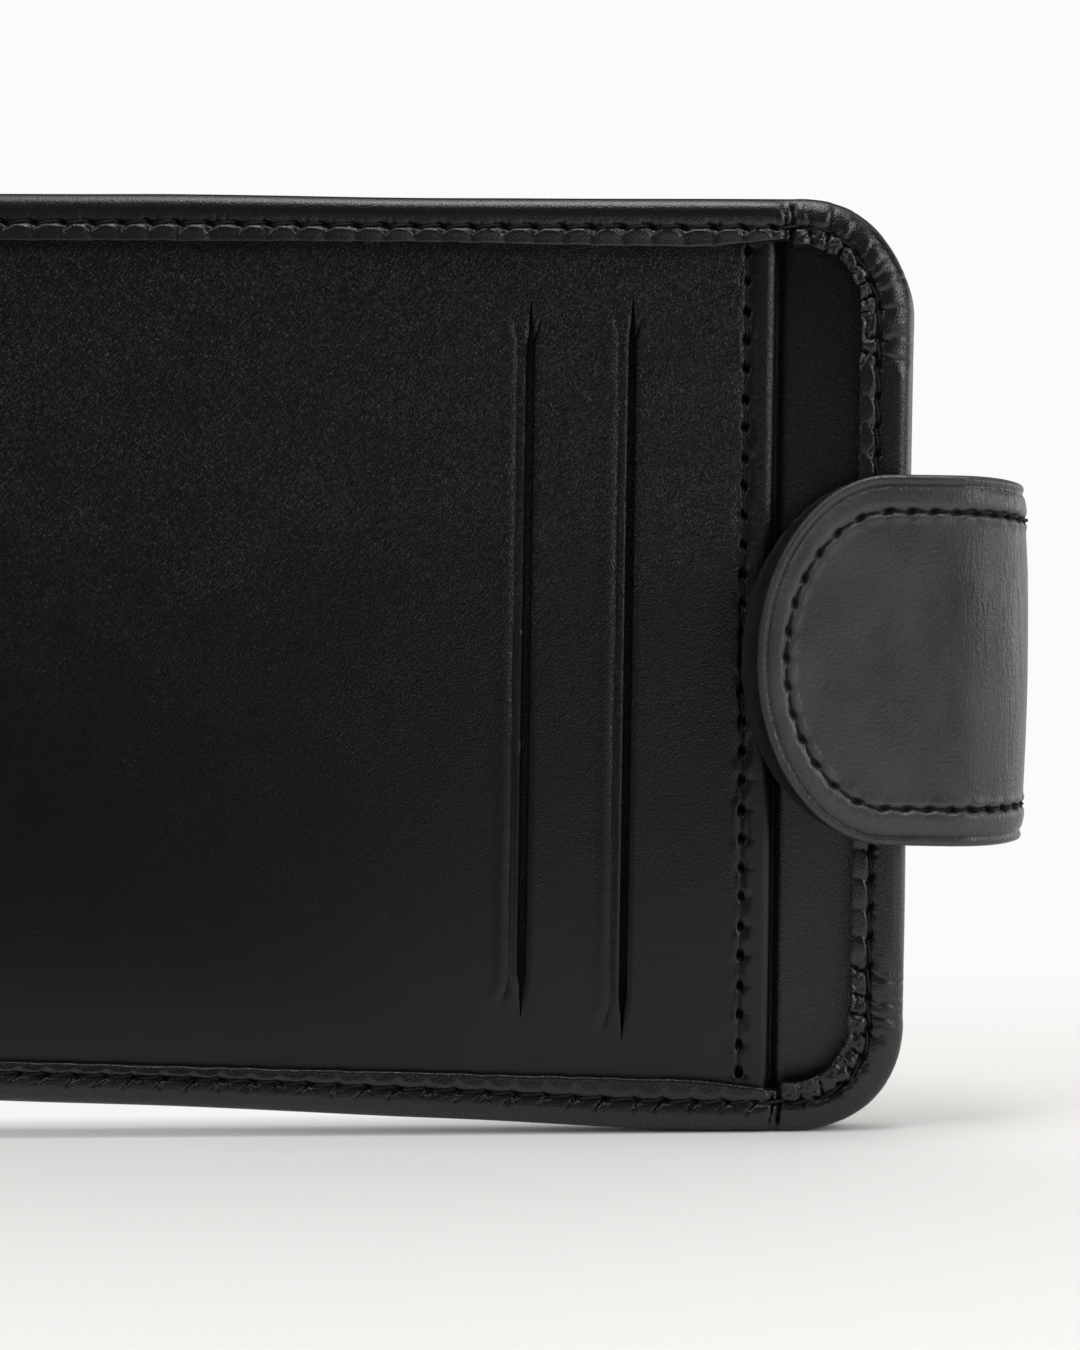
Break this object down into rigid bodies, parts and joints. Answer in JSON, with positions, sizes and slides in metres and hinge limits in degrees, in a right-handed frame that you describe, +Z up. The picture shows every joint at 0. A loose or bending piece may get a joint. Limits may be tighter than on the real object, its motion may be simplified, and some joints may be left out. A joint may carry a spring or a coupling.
{
  "type": "money clip wallet",
  "caption": "Slim leather card case with two card slits, an end pocket and a magnetic strap that folds round its end to clip banknotes.",
  "frame": {"origin": "centre of the bottom of the whole object's box, strap included, with the wallet standing on its long bottom edge", "axes": "+X along the length towards the strap's bend, +Z up, -Y out of the front with the card slits"},
  "size_m": [0.1256, 0.0128, 0.077],
  "materials": {
    "cover_leather": "fine pebble grain, soft sheen",
    "panel_leather": "fine pebble grain, soft sheen",
    "strap_leather": "smooth satin",
    "strap_back_leather": "smooth, raw edge",
    "lining_fabric": "plain weave",
    "board": "matte fibre board",
    "black_thread": "twisted polyester thread",
    "steel": "plated steel"
  },
  "bodies": {
    "wallet_body": {"back_cover": "cover_leather", "stiffener_board": "board", "keeper_plate": "steel", "base_panel": "panel_leather", "right_pocket_lining": "lining_fabric", "left_pocket_lining": "lining_fabric", "front_panel": "panel_leather", "edge_stitching": "black_thread", "hem_stitching": "black_thread", "strap_outer_base": "strap_leather", "strap_lining_base": "strap_back_leather", "strap_base_stitching": "black_thread"},
    "strap_bend_1": {"strap_outer_bend_1": "strap_leather", "strap_lining_bend_1": "strap_back_leather"},
    "strap_bend_2": {"strap_outer_bend_2": "strap_leather", "strap_lining_bend_2": "strap_back_leather"},
    "strap_bend_3": {"strap_outer_bend_3": "strap_leather", "strap_lining_bend_3": "strap_back_leather"},
    "strap_tip": {"strap_outer_tip": "strap_leather", "strap_lining_tip": "strap_back_leather", "strap_magnet": "steel", "strap_tip_stitching": "black_thread"}
  },
  "joints": [
    {"name": "strap_flex_1", "type": "hinge", "parent": "wallet_body", "child": "strap_bend_1", "pos_m": [0.05842, 0.00434, 0.0385], "axis": [0, 0, 1], "range_deg": [0, 45], "stiffness_Nm_per_rad": 0.004},
    {"name": "strap_flex_2", "type": "hinge", "parent": "strap_bend_1", "child": "strap_bend_2", "pos_m": [0.06097, 0.0018, 0.0385], "axis": [0, 0, 1], "range_deg": [0, 45], "stiffness_Nm_per_rad": 0.004},
    {"name": "strap_flex_3", "type": "hinge", "parent": "strap_bend_2", "child": "strap_bend_3", "pos_m": [0.06097, -0.0018, 0.0385], "axis": [0, 0, 1], "range_deg": [0, 45], "stiffness_Nm_per_rad": 0.004},
    {"name": "strap_flex_4", "type": "hinge", "parent": "strap_bend_3", "child": "strap_tip", "pos_m": [0.05842, -0.00434, 0.0385], "axis": [0, 0, 1], "range_deg": [0, 45], "stiffness_Nm_per_rad": 0.004}
  ],
  "couplings": [
    {"joint": "strap_flex_1", "follows": "strap_flex_4", "ratio": 1},
    {"joint": "strap_flex_2", "follows": "strap_flex_4", "ratio": 1},
    {"joint": "strap_flex_3", "follows": "strap_flex_4", "ratio": 1}
  ]
}
